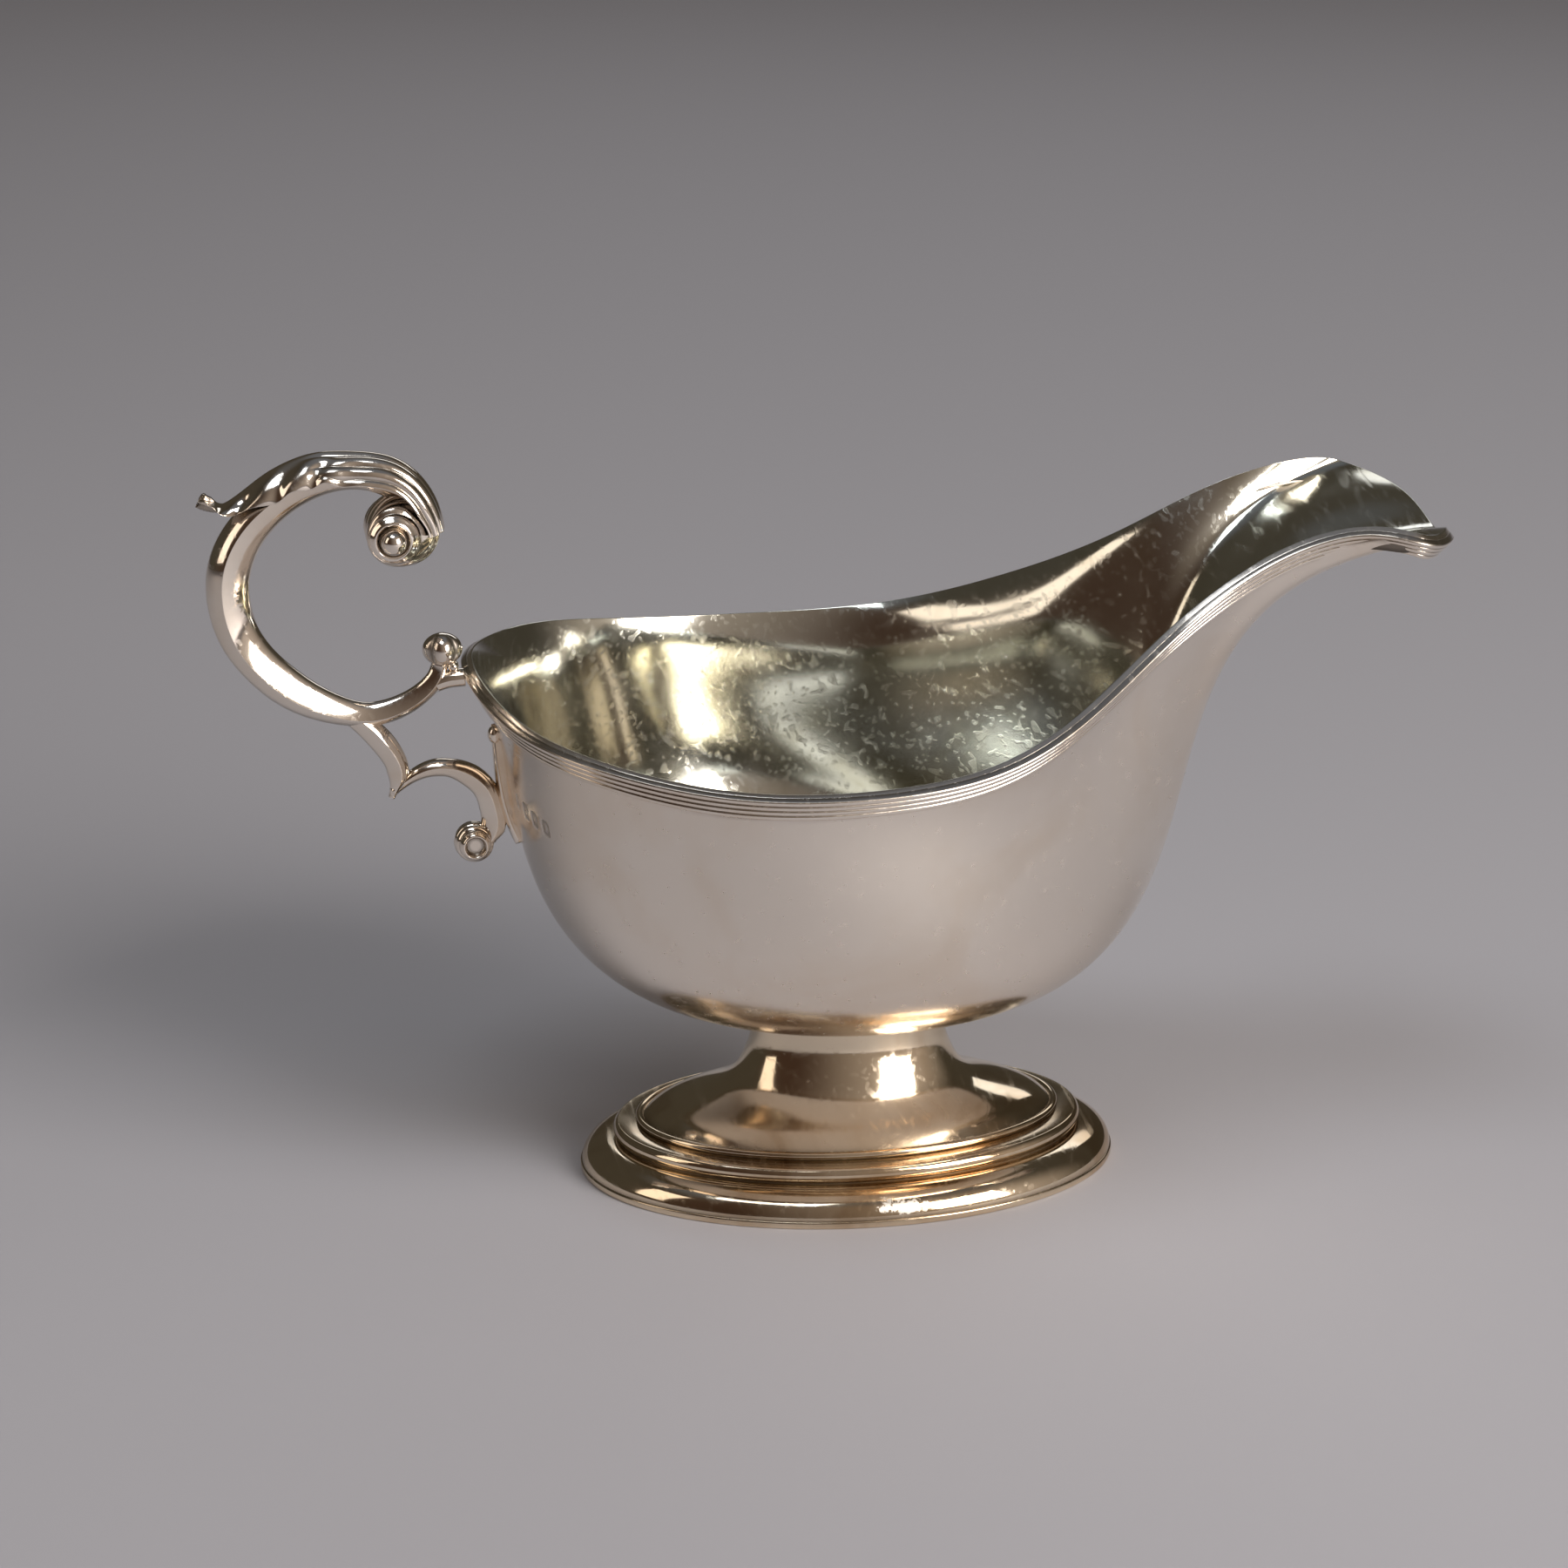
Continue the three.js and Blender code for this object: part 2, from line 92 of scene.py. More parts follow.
class Spline:
    """A smooth curve through points, numbered evenly from t = 0 to t = 1."""

    def __init__(self, points, closed=False):
        self.points = np.array(points, float)
        self.closed = closed
        count = len(self.points)
        before = np.roll(self.points, 1, 0)
        after = np.roll(self.points, -1, 0)
        pull = 6 * (before - 2 * self.points + after)
        system = 4 * np.eye(count) + np.roll(np.eye(count), 1, 0) + np.roll(np.eye(count), -1, 0)
        if not closed:
            for end in (0, -1):
                system[end] = 0
                system[end, end] = 1
                pull[end] = 0
        self.bend = np.linalg.solve(system, pull)

    def __call__(self, t):
        count = len(self.points)
        spans = count if self.closed else count - 1
        place = np.asarray(t, float) * spans
        first = np.floor(place).astype(int)
        if not self.closed:
            first = np.clip(first, 0, spans - 1)
        far = (place - first)[..., None]
        near = 1 - far
        i = first % count
        j = (first + 1) % count
        line = near * self.points[i] + far * self.points[j]
        return line + ((near**3 - near) * self.bend[i] + (far**3 - far) * self.bend[j]) / 6


def plane_curve(points):
    """A smooth curve in the XZ plane."""
    return Spline([(x, 0, z) for x, z in points])


def smooth(edge0, edge1, x):
    s = np.clip((x - edge0) / (edge1 - edge0), 0, 1)
    return s * s * (3 - 2 * s)


def profile(*pairs):
    """A smooth function of t through (t, value) pairs."""
    places = np.array([p[0] for p in pairs], float)
    values = np.array([p[1] for p in pairs], float)

    def read(t):
        t = np.asarray(t, float)
        i = np.clip(np.searchsorted(places, t) - 1, 0, len(places) - 2)
        s = np.clip((t - places[i]) / (places[i + 1] - places[i]), 0, 1)
        return values[i] + (values[i + 1] - values[i]) * s * s * (3 - 2 * s)

    return read


def unit(v):
    return v / np.linalg.norm(v, axis=-1, keepdims=True)


def tangents(curve, t):
    step = 1e-4
    return unit(curve(np.clip(t + step, 0, 1)) - curve(np.clip(t - step, 0, 1)))


# ---------------------------------------------------------------- meshes


def solid(name, rows, material, closed_section=False, grime=None, inside=None, node=None):
    """A closed mesh from rows of points in millimetres, each row running once round.

    Unless the section is closed, a fan to its middle closes the first and last row.
    grime is each point's share of dark tarnish, and inside says which rows take the
    second material.
    """
    count, around = rows.shape[:2]
    points = rows.reshape(-1, 3)
    first = np.arange(count if closed_section else count - 1)
    here = np.arange(around)
    a = (first[:, None] * around + here).ravel()
    b = (first[:, None] * around + (here + 1) % around).ravel()
    shift = ((first + 1) % count - first)[:, None] * around + 0 * here
    quads = np.stack([a, b, b + shift.ravel(), a + shift.ravel()], 1)
    faces = quads.tolist()
    slots = [0] * len(faces)
    if inside is not None:
        slots = np.repeat(inside[: len(first)].astype(int), around).tolist()
    dirt = np.zeros(len(points)) if grime is None else np.broadcast_to(grime, (count, around)).ravel()
    if not closed_section:
        middles = np.array([rows[0].mean(0), rows[-1].mean(0)])
        points = np.vstack([points, middles])
        dirt = np.append(dirt, [dirt[0], dirt[-1]])
        bottom = count * around
        last = (count - 1) * around
        for k in range(around):
            after = (k + 1) % around
            faces.append([after, k, bottom])
            faces.append([last + k, last + after, bottom + 1])
        ends = [0, 0] if inside is None else [int(inside[0]), int(inside[-1])]
        slots += ends * around
    mesh = bpy.data.meshes.new(name)
    mesh.from_pydata((points * MM + FOOT_AXIS).tolist(), [], faces)
    corners = points[quads]
    inward = np.cross(corners[:, 2] - corners[:, 0], corners[:, 3] - corners[:, 1])
    if (inward * corners.mean(1)).sum() < 0:
        mesh.flip_normals()
    materials = material if isinstance(material, (list, tuple)) else [material]
    for m in materials:
        mesh.materials.append(m)
    mesh.polygons.foreach_set("material_index", slots)
    mesh.polygons.foreach_set("use_smooth", [True] * len(faces))
    grime_layer = mesh.attributes.new("grime", "FLOAT", "POINT")
    grime_layer.data.foreach_set("value", np.ascontiguousarray(dirt, np.float32))
    mesh.update()
    piece = bpy.data.objects.new(name, mesh)
    bpy.context.scene.collection.objects.link(piece)
    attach(piece, BODY)
    if node:
        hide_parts(node)


def rounded(outline, radius=0.12):
    """A closed outline of (half length, height) points with its sharp corners rounded off."""
    steps = 3
    least_turn = 25
    points = np.array(outline, float)
    made = []
    count = len(points)
    for i in range(count):
        before, here, after = points[i - 1], points[i], points[(i + 1) % count]
        back, ahead = before - here, after - here
        reach_back, reach_ahead = np.linalg.norm(back), np.linalg.norm(ahead)
        turn = math.degrees(math.pi - math.acos(np.clip(back @ ahead / reach_back / reach_ahead, -1, 1)))
        if turn < least_turn:
            made.append(here)
            continue
        cut = min(radius, 0.4 * reach_back, 0.4 * reach_ahead)
        start = here + back / reach_back * cut
        end = here + ahead / reach_ahead * cut
        made.append(here + back / reach_back * min(1.5 * cut, 0.48 * reach_back))
        for k in range(steps + 1):
            s = k / steps
            made.append((1 - s) ** 2 * start + 2 * s * (1 - s) * here + s * s * end)
        made.append(here + ahead / reach_ahead * min(1.5 * cut, 0.48 * reach_ahead))
    return np.array(made)


# ---------------------------------------------------------------- materials


class Shader:
    """Short names for the node work that the silver materials share."""

    def __init__(self, name):
        self.material = bpy.data.materials.new(name)
        self.material.use_nodes = True
        self.tree = self.material.node_tree
        self.surface = self.tree.nodes["Principled BSDF"]
        self.place = self.node("ShaderNodeTexCoord").outputs["Object"]

    def node(self, kind, **settings):
        made = self.tree.nodes.new(kind)
        for key, value in settings.items():
            setattr(made, key, value)
        return made

    def link(self, source, target):
        self.tree.links.new(source, target)

    def stretched(self, scale, turn):
        mapping = self.node("ShaderNodeMapping")
        mapping.inputs["Rotation"].default_value = [math.radians(a) for a in turn]
        mapping.inputs["Scale"].default_value = scale
        self.link(self.place, mapping.inputs["Vector"])
        return mapping.outputs["Vector"]

    def noise(self, scale, detail, roughness, vector=None, distortion=0.0):
        made = self.node("ShaderNodeTexNoise")
        made.inputs["Scale"].default_value = scale
        made.inputs["Detail"].default_value = detail
        made.inputs["Roughness"].default_value = roughness
        made.inputs["Distortion"].default_value = distortion
        self.link(self.place if vector is None else vector, made.inputs["Vector"])
        return made.outputs["Fac"]

    def remap(self, value, low, high, to_low=0.0, to_high=1.0):
        made = self.node("ShaderNodeMapRange", interpolation_type="SMOOTHSTEP")
        made.inputs["From Min"].default_value = low
        made.inputs["From Max"].default_value = high
        made.inputs["To Min"].default_value = to_low
        made.inputs["To Max"].default_value = to_high
        self.link(value, made.inputs["Value"])
        return made.outputs["Result"]

    def sum(self, a, b, how="ADD"):
        made = self.node("ShaderNodeMath", operation=how)
        for socket, value in zip(made.inputs, (a, b)):
            if isinstance(value, (int, float)):
                socket.default_value = value
            else:
                self.link(value, socket)
        return made.outputs[0]

    def blend(self, share, a, b):
        made = self.node("ShaderNodeMix", data_type="RGBA")
        self.link(share, made.inputs[0])
        for socket, value in zip((made.inputs[6], made.inputs[7]), (a, b)):
            if isinstance(value, tuple):
                socket.default_value = (*value, 1)
            else:
                self.link(value, socket)
        return made.outputs[2]

    def scratches(self, turn, fineness=900.0, length=9.0):
        """Thin straight lines running one way, as a height from 0 to 1."""
        threshold = 0.68
        lines = self.noise(1.0, 0.0, 0.5, self.stretched((fineness, length, fineness), turn))
        return self.remap(lines, threshold, threshold + 0.06)

    def grime(self):
        made = self.node("ShaderNodeAttribute", attribute_name="grime")
        return made.outputs["Fac"]


CLEAN = (0.91, 0.83, 0.74)
# The interior's clean colour: a greenish tint that is partly a painted reflection of dark olive
# surroundings.
GREENISH_WITH_PAINTED_REFLECTION = (0.80, 0.79, 0.72)
GOLDEN = (0.84, 0.71, 0.54)
WARM = (0.78, 0.64, 0.49)
# The interior's tarnish colour: partly olive tarnish, partly a painted reflection of dark olive
# surroundings.
OLIVE_TARNISH_AND_PAINTED_REFLECTION = (0.56, 0.52, 0.38)
BROWN = (0.50, 0.34, 0.19)
GRIME = (0.055, 0.042, 0.030)
POLISH_RESIDUE = (0.80, 0.80, 0.78)


def silver(name, clean, tarnish, tarnished, rough, scratch, residue=False, pits=0.1):
    """Polished silver: tarnish in clouds, fine handling scratches, small pits and dark crevices.

    tarnished is how far the clouds go over to the tarnish colour; scratch and pits are
    shares of the bump's height.
    """
    haze = 0.03
    s = Shader(name)
    clouds = s.remap(s.noise(38, 4, 0.6, distortion=0.6), 0.42, 0.68, 0.0, tarnished)
    colour = s.blend(clouds, clean, tarnish)
    dark = s.grime()
    colour = s.blend(dark, colour, GRIME)
    wear = s.remap(s.noise(120, 5, 0.65), 0.3, 0.75, rough - haze, rough + haze)
    dull = s.remap(dark, 0.0, 1.0, 0.0, 0.35)
    roughness = s.sum(wear, dull)
    height = s.remap(s.noise(1500, 2, 0.6), 0.78, 0.86, 0.0, -pits)
    first = s.scratches((12, 40, 25))
    second = s.scratches((70, -15, 118), 1300, 16)
    third = s.scratches((-35, 62, 76), 700, 5)
    marks = s.sum(s.sum(first, second), third)
    height = s.sum(height, s.sum(marks, -scratch, "MULTIPLY"))
    roughness = s.sum(roughness, s.sum(marks, 0.06, "MULTIPLY"))
    if residue:
        patch = residue_patch(s)
        colour = s.blend(patch, colour, POLISH_RESIDUE)
        roughness = s.sum(roughness, s.sum(patch, 0.5, "MULTIPLY"))
    ripple = s.noise(55, 1, 0.4)
    height = s.sum(height, s.sum(ripple, 0.3, "MULTIPLY"))
    bump = s.node("ShaderNodeBump")
    bump.inputs["Strength"].default_value = 0.5
    bump.inputs["Distance"].default_value = 0.000012
    s.link(height, bump.inputs["Height"])
    s.link(bump.outputs["Normal"], s.surface.inputs["Normal"])
    s.link(colour, s.surface.inputs["Base Color"])
    s.link(roughness, s.surface.inputs["Roughness"])
    s.surface.inputs["Metallic"].default_value = 1.0
    return s.material


def residue_patch(s):
    """Dried polish left in one place on the front of the foot."""
    centre = FOOT_AXIS + np.array([3.5, -FOOT_HALF_WIDTH, 2.6]) * MM
    offset = s.node("ShaderNodeVectorMath", operation="SUBTRACT")
    s.link(s.place, offset.inputs[0])
    offset.inputs[1].default_value = centre
    squeeze = s.node("ShaderNodeVectorMath", operation="MULTIPLY")
    s.link(offset.outputs[0], squeeze.inputs[0])
    squeeze.inputs[1].default_value = (1 / 0.0075, 1 / 0.006, 1 / 0.0022)
    reach = s.node("ShaderNodeVectorMath", operation="LENGTH")
    s.link(squeeze.outputs[0], reach.inputs[0])
    ragged = s.sum(reach.outputs["Value"], s.sum(s.noise(700, 4, 0.7), 1.6, "MULTIPLY"))
    return s.remap(ragged, 1.35, 1.05, 0.0, 0.75)


outside_silver = silver("satin_silver", CLEAN, WARM, 0.35, 0.19, 0.06, pits=0.0)
# The interior's greenish colour, olive tarnish and heavy tarnish share are partly real tarnish and partly
# a painted reflection of dark olive surroundings.
inside_silver_tarnish_and_reflection = silver("interior_silver_tarnish_and_painted_reflection", GREENISH_WITH_PAINTED_REFLECTION, OLIVE_TARNISH_AND_PAINTED_REFLECTION, 0.7, 0.13, 0.5)
bright_silver = silver("bright_silver", CLEAN, WARM, 0.5, 0.10, 0.35)
foot_silver = silver("foot_silver", GOLDEN, BROWN, 0.8, 0.10, 0.3, residue=True)


# ---------------------------------------------------------------- bowl

# The lip from the back, over the near side, to the spout's tip: along X, half width, height.
LIP_STATIONS = [
    (-53.8, 0, 77.0),
    (-50.0, 19.5, 75.0),
    (-40.5, 33.3, 73.0),
    (-25.5, 41.3, 70.7),
    (-8, 43.8, 69.9),
    (12, 41.0, 71.4),
    (28, 32.5, 77.0),
    (42, 22.8, 85.0),
    (56, 19.2, 93.0),
    (69, 19.6, 96.4),
    (77.8, 21.0, 95.0),
    (83.4, 10.5, 93.2),
    (85.0, 0, 90.2),
]
near_lip = [(x, -y, z) for x, y, z in LIP_STATIONS]
far_lip = [(x, y, z) for x, y, z in reversed(LIP_STATIONS[1:-1])]
LIP = Spline(near_lip + far_lip, closed=True)

# How far the lines up the wall are drawn together, low down, towards the spout.
FAN = 0.6

# Just under the lip, the throat and the sides of the spout are this much fuller, most
# of all this far round from the back, and over this much on either side of it.
FULLNESS = 2.5
FULLEST_U = 0.305
FULLNESS_SPREAD = 0.09

# Over this much below the lip, the sheet turns from square to the wall to the wire's lean.
LEAN_BAND = 4


def lip_frame(u):
    """At each place round the lip: along it, level outwards, and square down."""
    step = 1e-4
    along = unit(LIP(u + step) - LIP(u - step))
    outward = unit(np.cross(along, np.array([0.0, 0.0, 1.0])))
    return along, outward, np.cross(along, outward)


def from_back(u):
    """How far round from the back, from 0 to 0.5, on either side."""
    return np.abs(u - np.round(u))


# Degrees that the wire's face is turned downwards, from the back to the spout's tip.
WIRE_LEAN = profile((0, 30), (0.12, 20), (0.25, 28), (0.35, 30), (0.43, 42), (0.5, 64))


def wire_frame(u):
    """The rim wire's own directions: outwards and down."""
    _, level, drop = lip_frame(u)
    lean = np.radians(WIRE_LEAN(from_back(u)))[..., None]
    return np.cos(lean) * level + np.sin(lean) * drop, np.cos(lean) * drop - np.sin(lean) * level


def wall(u, t):
    """Points of the bowl's outer face: u runs round from the back, t rises from foot to lip.

    Each line up the wall is a Bezier curve from the stem, reaching out under the belly,
    through the belly's swell to the lip.
    """
    u, t = np.broadcast_arrays(np.asarray(u, float), np.asarray(t, float))
    bearing = np.pi * (1 + 2 * u) + FAN * np.sin(2 * np.pi * u)
    c, s = np.cos(bearing), np.sin(bearing)
    front = ((1 + c) / 2) ** 2
    back = ((1 - c) / 2) ** 2
    floor = np.full_like(c, BOWL_FLOOR)
    start = np.stack([(STEM_HALF_LENGTH - 0.5) * c, (STEM_HALF_WIDTH - 0.4) * s, floor], -1)
    reach = np.stack([12.7 + 55.3 * c, 43.7 * s, floor], -1)
    belly_height = 64 + 18.5 * c + 5.2 * np.cos(2 * bearing) + np.cos(3 * bearing)
    swell = np.stack([-12.1 + 39.6 * c, 48 * s * (1 - 0.5 * front), belly_height], -1)
    rise = t[..., None]
    fall = 1 - rise
    point = fall**3 * start + 3 * fall**2 * rise * reach + 3 * fall * rise**2 * swell + rise**3 * LIP(u)
    # this rises to 1 a sixth of the way down from the lip
    under_lip = 15 * t**5 * (1 - t)
    tuck = 3.0 * back * under_lip
    point = point - np.stack([c * tuck, s * tuck, 0 * c], -1)
    _, level, drop = lip_frame(u)
    full = FULLNESS * np.exp(-(((from_back(u) - FULLEST_U) / FULLNESS_SPREAD) ** 2)) * under_lip
    return point + full[..., None] * (0.42 * level + 0.9 * drop)


def wall_out(u, t):
    """The wall's outward normals."""
    step = 1e-3
    u, t = np.broadcast_arrays(np.asarray(u, float), np.asarray(t, float))
    rise = wall(u, np.minimum(t + step, 1)) - wall(u, np.maximum(t - step, 0))
    round_ = wall(u + step, t) - wall(u - step, t)
    return unit(np.cross(round_, rise))


def sheet_out(u, t):
    """The way the sheet's thickness runs: square to the wall, then as the wire leans at the lip."""
    share = smooth(1 - LEAN_BAND / climb(u), 1, t)[..., None]
    return unit((1 - share) * wall_out(u, t) + share * wire_frame(u)[0])


def climb(u):
    """Millimetres up the wall for each whole step of t, near the lip."""
    return np.linalg.norm(wall(u, 1.0) - wall(u, 0.9), axis=-1) / 0.1


# Blank maker's and assay punches, struck in a row below the rim wire near the handle.
# Each has its own corners, from 0 for square to 1 for the roundest, and its own grime.
MARK_ROUNDNESS = (0.9, 0.35, 0.6, 0.9)
MARK_GRIME = (0.2, 0.45, 0.5, 0.5)
MARK_SPACING = 3.6
MARK_HALF_WIDTH = 1.05
MARK_HALF_HEIGHT = 1.25
MARK_DEPTH = 0.14
FIRST_MARK_U = 0.017
MARK_T = 0.778


def mark_places():
    """Each punch's middle, and its two directions in the wall."""
    step = 1e-4
    u = FIRST_MARK_U
    for _ in MARK_ROUNDNESS:
        middle = wall(u, MARK_T)
        ahead = wall(u + step, MARK_T) - middle
        pace = np.linalg.norm(ahead) / step
        along = unit(ahead)
        out = wall_out(u, MARK_T)
        yield middle, along, np.cross(out, along)
        u += MARK_SPACING / pace


def punched(points):
    """How deep the punches sink the wall at each point, and how dark they are."""
    too_far = 4
    depth = np.zeros(points.shape[:-1])
    dark = np.zeros(points.shape[:-1])
    for number, (middle, along, up) in enumerate(mark_places()):
        offset = points - middle
        x = offset @ along
        y = offset @ up
        near = np.linalg.norm(offset, axis=-1) < too_far
        power = 2 + 2 / MARK_ROUNDNESS[number]
        width = np.abs(x) / MARK_HALF_WIDTH
        height = np.abs(y) / MARK_HALF_HEIGHT
        shape = (width**power + height**power) ** (1 / power)
        bed = smooth(1.05, 0.88, shape) * near
        boss = smooth(0.75, 0.2, shape) * near
        depth = np.maximum(depth, MARK_DEPTH * (bed - 0.6 * boss))
        dark = np.maximum(dark, MARK_GRIME[number] * bed * (1 - 0.6 * boss))
    return depth, dark


def bowl_columns():
    """Even columns round the bowl, with closer ones where the punches are."""
    even = np.arange(288) / 288
    marks = np.linspace(FIRST_MARK_U - 0.010, FIRST_MARK_U + 0.049, 96)
    keep = even[(even < marks[0] - 0.002) | (even > marks[-1] + 0.002)]
    return np.sort(np.concatenate([keep, marks]))


def bowl():
    """The raised bowl: up its outer face, over a rounded edge, and down its inner face."""
    u = bowl_columns()[None, :]
    fine = np.linspace(MARK_T - 0.042, MARK_T + 0.042, 34)
    even = np.linspace(0, 0.985, 66)
    keep = even[(even < fine[0] - 0.004) | (even > fine[-1] + 0.004)]
    shares = np.sort(np.concatenate([keep, fine]))
    up = climb(u)
    wire_foot = 1 - WIRE_HEIGHT / up
    edge = 0.14
    outer_t = shares[:, None] + 0 * u
    outer_depth = 0 * outer_t
    turn = np.linspace(0, np.pi / 2, 5)[:, None]
    round_t = 1 - (edge - edge * np.sin(turn)) / up
    round_depth = edge - edge * np.cos(turn) + 0 * u
    support_t = 1 - np.array([[2.5], [1.4]]) * edge / up
    inner_shares = np.linspace(0.985, 0, 64)[:, None] + 0 * u
    t = np.vstack([outer_t, support_t, round_t, round_t[::-1], support_t[::-1], inner_shares])
    depth = np.vstack([
        outer_depth, 0 * support_t, round_depth, SHEET - round_depth[::-1],
        SHEET + 0 * support_t, SHEET + 0 * inner_shares,
    ])
    points = wall(u, t)
    sunk, dark = punched(points[: len(shares)])
    depth[: len(shares)] += sunk
    points = points - depth[..., None] * sheet_out(u + 0 * t, t)
    grime = np.zeros(t.shape)
    grime[: len(shares)] = dark
    below_wire = np.maximum(wire_foot - outer_t, 0) * up
    grime[: len(shares)] += 0.55 * np.exp(-below_wire / 0.22)
    inside = np.zeros(len(t), bool)
    inside[len(shares) + len(support_t) + len(turn):] = True
    solid(
        "bowl_skin", points, [outside_silver, inside_silver_tarnish_and_reflection], grime=np.clip(grime, 0, 1),
        inside=inside, node="bowl",
    )


def wire_section():
    """The reeded wire's section and its grime, as (out, down) with down a share of its height."""
    pitch = 1 / REEDS
    section = [(-0.3, 0.02), (0.0, 0.0), (0.35, 0.0), (WIRE_DEPTH - REED_STAND, 0.0)]
    dirt = [0.4, 0.4, 0.3, 0.25]
    points_per_reed = 9
    for reed in range(REEDS):
        for k in range(points_per_reed):
            turn = math.pi * (k + 0.5) / points_per_reed
            out = WIRE_DEPTH - REED_STAND - 0.02 + REED_STAND * math.sin(turn) ** 0.8
            section.append((out, (reed + 0.5 - 0.48 * math.cos(turn)) * pitch))
            dirt.append(0.95 * (1 - math.sin(turn)) ** 1.3)
    section += [(WIRE_DEPTH - 0.5, 1.0), (0.1, 1.0)]
    dirt += [0.5, 0.7]
    return np.array(section), np.array(dirt)


def rim_wire(name, node, start, side):
    """One side's wire, from where u is start to half way round; side is the sign of its Y."""
    steps = 180
    section, dirt = wire_section()
    u = (start + 0.5 * np.arange(steps + 1) / steps)[:, None]
    out, down = wire_frame(u)
    top = LIP(u)
    points = top + section[None, :, :1] * out + WIRE_HEIGHT * section[None, :, 1:] * down
    # the section closes with two points that are buried in the sheet, down the wall from the lip
    near_lip = 0.985
    into_sheet = 0.4 * wall_out(u, near_lip)
    along, _, _ = lip_frame(u)
    fall = wall(u, near_lip) - top
    fall = unit(fall - (fall * along).sum(-1, keepdims=True) * along)
    buried = [top + depth * fall - into_sheet for depth in (2.6, 1.3)]
    points = np.concatenate([points, *buried], 1)
    dirt = np.append(dirt, [0.8, 0.8])
    points[..., 1] = side * np.maximum(side * points[..., 1], 0.0)
    solid(name, points, bright_silver, grime=dirt[None, :], node=node)


# ---------------------------------------------------------------- foot


def foot_half_width(a):
    """The foot's half width where its half length is a; its sides draw in towards the stem."""
    waist = np.clip((DOME_HALF_LENGTH - a) / (DOME_HALF_LENGTH - STEM_HALF_LENGTH), 0, 1)
    border = FOOT_HALF_LENGTH - FOOT_HALF_WIDTH
    return a - (border + (STEM_HALF_LENGTH - STEM_HALF_WIDTH - border) * waist * waist * (3 - 2 * waist))


def foot_ring(name, node, outline, grime):
    """A ring whose section is a closed outline of (half length, height) points."""
    outline = np.asarray(outline, float)
    angle = np.linspace(0, 2 * np.pi, 240, endpoint=False)[None, :]
    a, z = outline[:, :1], outline[:, 1:]
    points = np.stack([a * np.cos(angle), foot_half_width(a) * np.sin(angle), z + 0 * angle], -1)
    solid(name, points, foot_silver, closed_section=True, grime=grime[:, None], node=node)


def arc(centre, radius, start, end, steps):
    """Points of an oval's arc between two bearings in degrees."""
    angle = np.radians(np.linspace(start, end, steps + 1))
    return [(centre[0] + radius[0] * np.cos(x), centre[1] + radius[1] * np.sin(x)) for x in angle]


def creased(outline, creases, reach):
    """Grime for each outline point, darkest at the creases."""
    outline = np.asarray(outline)
    gaps = [np.hypot(outline[:, 0] - x, outline[:, 1] - z) for x, z in creases]
    return 0.9 * np.exp(-np.min(gaps, 0) / reach)


def foot():
    """The stepped foot, from the wire that it stands on up to the pedestal."""
    half = FOOT_HALF_LENGTH
    wire_top = 1.08
    base = rounded([(half - 2.2, 0), (half, 0), (half, wire_top), (half - 2.2, wire_top)], 0.3)
    foot_ring("foot_base_wire_skin", "foot_base_wire", base, creased(base, [(half, wire_top)], 0.15))
    groove = 34.3
    ovolo = rounded([
        (half - 1.2, 1.0),
        *arc((groove, 1.0), (half - groove - 0.2, OVOLO_TOP - 1.0), 0, 90, 20),
        (groove - 1.4, OVOLO_TOP),
        *arc((groove, 1.0), (half - groove - 1.4, OVOLO_TOP - 2.2), 90, 18, 12),
    ])
    foot_ring("foot_ovolo_skin", "foot_ovolo_moulding", ovolo,
              creased(ovolo, [(half - 0.2, 1.0), (groove - 0.6, OVOLO_TOP)], 0.3))
    dome = DOME_HALF_LENGTH
    torus = rounded([
        (groove - 0.75, OVOLO_TOP - 0.1),
        *arc((groove - 1.3, OVOLO_TOP + 1.2), (1.2, 1.2), -60, 64, 14),
        (dome + 0.9, TORUS_TOP - 0.22),
        (dome + 0.2, TORUS_TOP),
        (dome - 1.4, TORUS_TOP),
        (dome - 1.4, TORUS_TOP - 1.2),
        (groove - 1.6, OVOLO_TOP + 0.02),
    ])
    foot_ring("foot_torus_skin", "foot_torus_moulding", torus,
              creased(torus, [(groove - 0.7, OVOLO_TOP + 0.1), (dome + 0.6, TORUS_TOP - 0.1)], 0.3))
    bead = arc((dome, TORUS_TOP + 0.5), (0.56, 0.56), 0, 345, 23)
    foot_ring("foot_bead_skin", "foot_bead_wire", bead,
              creased(bead, [(dome + 0.3, TORUS_TOP), (dome - 0.5, TORUS_TOP + 0.6)], 0.2))
    pedestal()


def pedestal():
    """The domed and waisted sheet between the beaded edge and the bowl."""
    side = plane_curve([
        (DOME_HALF_LENGTH - 0.3, 7.6),
        (27.2, 9.6),
        (23.0, 11.0),
        (19.3, 12.3),
        (16.6, 14.3),
        (14.9, 17.4),
        (14.1, 20.6),
        (STEM_HALF_LENGTH, BOWL_FLOOR + 0.25),
    ])
    t = np.linspace(0, 1, 64)
    skin = side(t)[:, [0, 2]]
    lean = tangents(side, t)[:, [0, 2]]
    inner = skin + np.stack([-lean[:, 1], lean[:, 0]], 1) * 1.2
    inner[:, 1] = np.clip(inner[:, 1], TORUS_TOP, BOWL_FLOOR)
    outline = np.vstack([skin, inner[::-1]])
    foot_ring("foot_pedestal_skin", "foot_pedestal", outline,
              creased(outline, [(DOME_HALF_LENGTH - 0.5, 7.6), (STEM_HALF_LENGTH, BOWL_FLOOR)], 0.45))


# ---------------------------------------------------------------- handle


